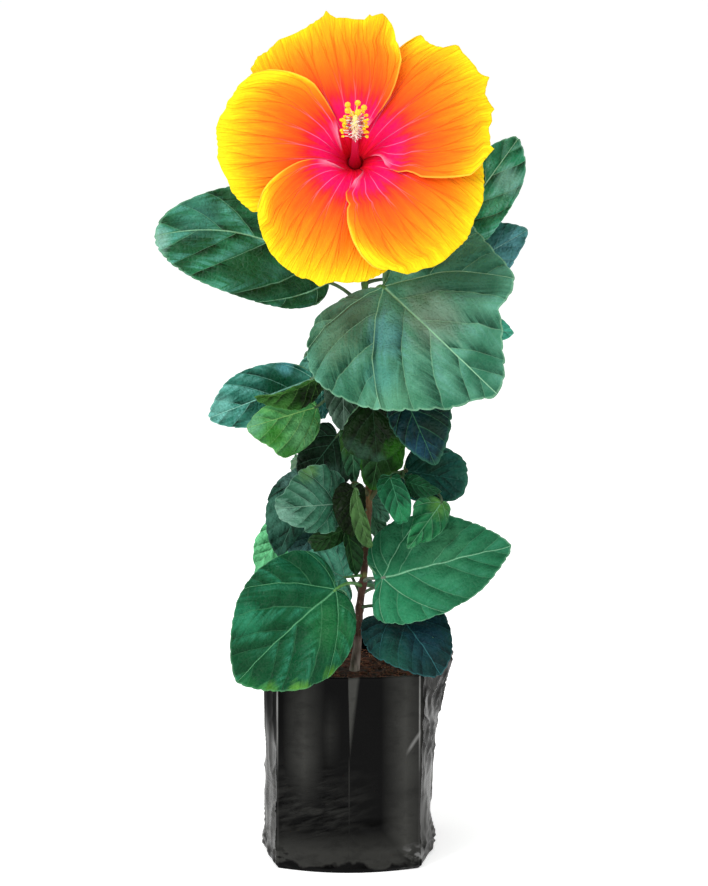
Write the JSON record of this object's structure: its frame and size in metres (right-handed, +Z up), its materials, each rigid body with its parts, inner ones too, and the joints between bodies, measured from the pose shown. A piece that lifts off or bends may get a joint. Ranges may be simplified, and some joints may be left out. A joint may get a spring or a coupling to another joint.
{
  "type": "potted hibiscus shrub",
  "caption": "Young hibiscus shrub with a leafy stem, side shoots and a large open yellow, orange and red bloom, growing in a soft black nursery bag of compost.",
  "frame": {"origin": "middle of the flat underside of the nursery bag", "axes": "+Z up along the plant, +X to the right as the bloom is looked at, -Y towards the front, where the bloom faces"},
  "size_m": [0.2584, 0.1906, 0.5985],
  "materials": {
    "film": "dusty black polythene film, satin gloss, creased",
    "compost": "crumbly red-brown coir compost",
    "bark": "smooth young bark with leaf scars",
    "leaf": "leathery leaf with sunken veins, satin",
    "petal": "thin matt petal, red eye to yellow margin",
    "calyx": "matt green",
    "green_stem": "smooth green stem",
    "stamens": "matt cream and yellow"
  },
  "bodies": {
    "root": {"grow_bag": "film", "compost": "compost", "main_stem": "bark", "shoot_left_upper": "bark", "shoot_left_lower": "bark", "shoot_right": "bark", "shoot_back": "bark", "leaf_upper_left": "leaf", "leaf_big_front": "leaf", "leaf_top_right": "leaf", "leaf_right_blue": "leaf", "leaf_right_back": "leaf", "leaf_left_broad": "leaf", "leaf_left_folded": "leaf", "leaf_left_bright": "leaf", "leaf_left_teal": "leaf", "leaf_left_peek": "leaf", "leaf_left_veined": "leaf", "leaf_middle_grey": "leaf", "leaf_middle_dark": "leaf", "leaf_middle_low": "leaf", "leaf_middle_olive": "leaf", "leaf_right_navy": "leaf", "leaf_right_round": "leaf", "leaf_right_small": "leaf", "leaf_right_cupped": "leaf", "leaf_right_curled": "leaf", "leaf_left_ruffled": "leaf", "leaf_left_dark": "leaf", "leaf_left_slate": "leaf", "leaf_left_far": "leaf", "leaf_inner_dark": "leaf", "leaf_inner_light": "leaf", "leaf_inner_left": "leaf", "leaf_inner_right": "leaf", "leaf_behind_upper": "leaf", "leaf_behind_lower": "leaf", "leaf_low_left": "leaf", "leaf_low_right": "leaf", "leaf_low_dark": "leaf", "leaf_low_middle": "leaf", "leaf_back_right_1": "leaf", "leaf_back_left_1": "leaf", "leaf_back_right_2": "leaf", "leaf_back_left_2": "leaf", "leaf_back_right_3": "leaf", "leaf_back_left_3": "leaf", "leaf_back_right_4": "leaf", "leaf_back_left_4": "leaf", "petal_1": "petal", "petal_2": "petal", "petal_3": "petal", "petal_4": "petal", "petal_5": "petal", "calyx": "calyx", "flower_stalk": "green_stem", "staminal_column": "stamens"}
  },
  "joints": []
}
